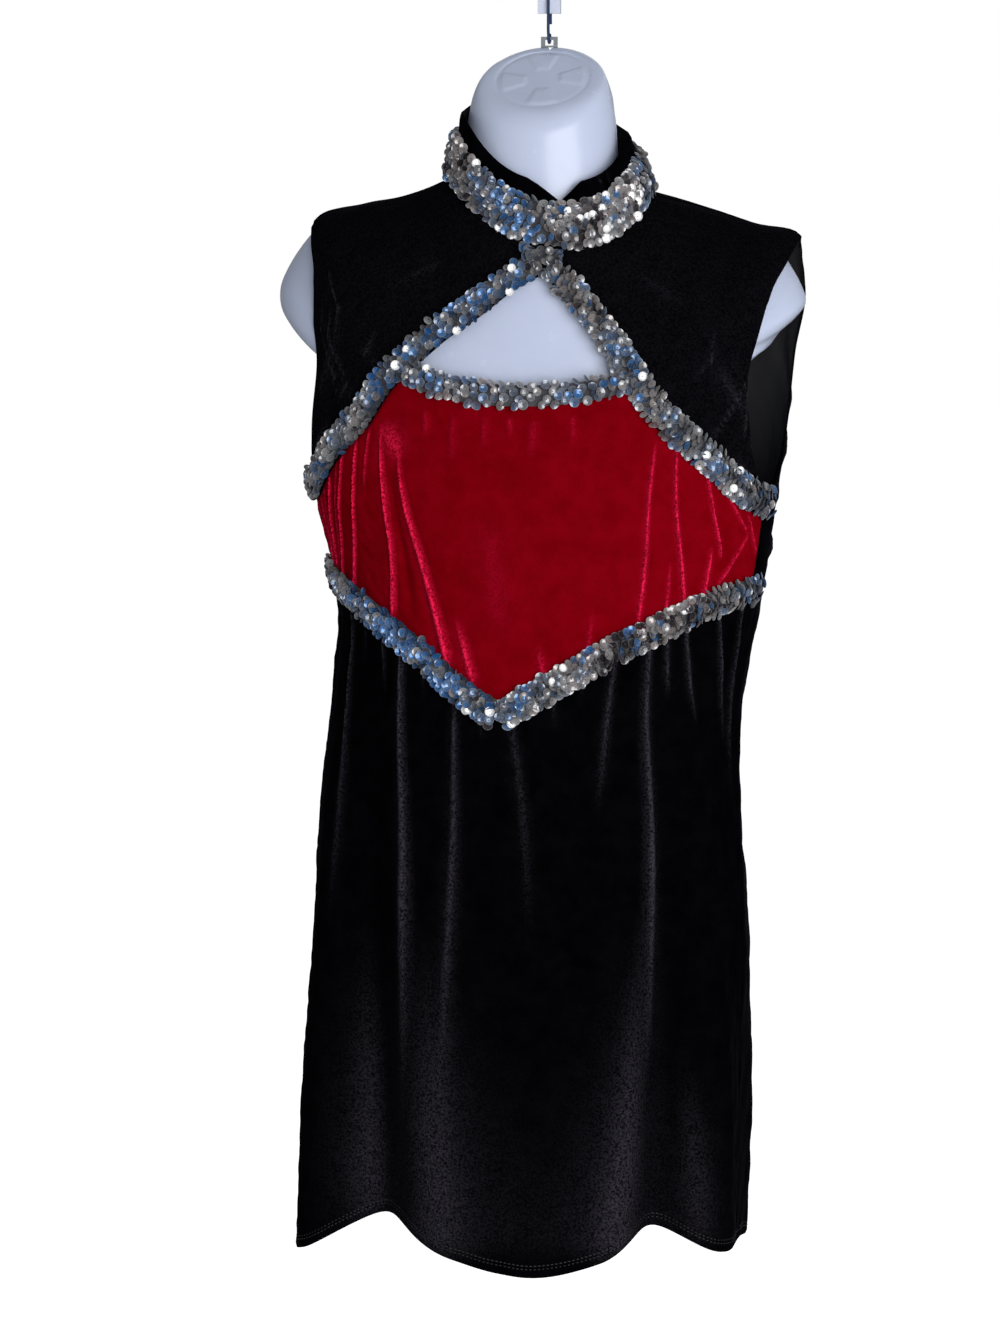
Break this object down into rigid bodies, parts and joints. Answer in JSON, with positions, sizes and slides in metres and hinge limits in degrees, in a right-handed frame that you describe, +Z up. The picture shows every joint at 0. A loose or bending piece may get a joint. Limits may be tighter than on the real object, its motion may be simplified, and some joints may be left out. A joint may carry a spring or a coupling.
{
  "type": "color guard dress on a hanging torso form",
  "caption": "Sleeveless black velvet mini dress with red bust panel, keyhole, stand collar and silver sequin trims, shown on a glossy hanging torso form with wire and wall hook.",
  "frame": {"origin": "the hanging point: just under the top of the nail hole in the white wall hook that holds the form", "axes": "+Z up, the dress's front faces -Y, +X is the viewer's right"},
  "size_m": [0.427, 0.2139, 1.0641],
  "materials": {
    "black_velvet": "stretch velvet with a soft sheen",
    "red_velvet": "crushed stretch velvet with a pink sheen",
    "silver_sequins": "silver cup sequins sewn on stretch mesh",
    "form_plastic": "glossy moulded plastic",
    "fitting_steel": "bright zinc plating",
    "hook_plastic": "smooth white"
  },
  "bodies": {
    "root": {"yoke_left": "black_velvet", "yoke_right": "black_velvet", "back_left": "black_velvet", "back_right": "black_velvet", "bust_panel": "red_velvet", "skirt_front": "black_velvet", "collar": "black_velvet", "collar_trim": "silver_sequins", "bar_trim": "silver_sequins", "diagonal_trim_left": "silver_sequins", "diagonal_trim_right": "silver_sequins", "vee_trim_left": "silver_sequins", "vee_trim_right": "silver_sequins", "torso_form": "form_plastic", "neck_fitting": "fitting_steel", "hook_wire": "fitting_steel", "wall_hook": "hook_plastic"}
  },
  "joints": []
}
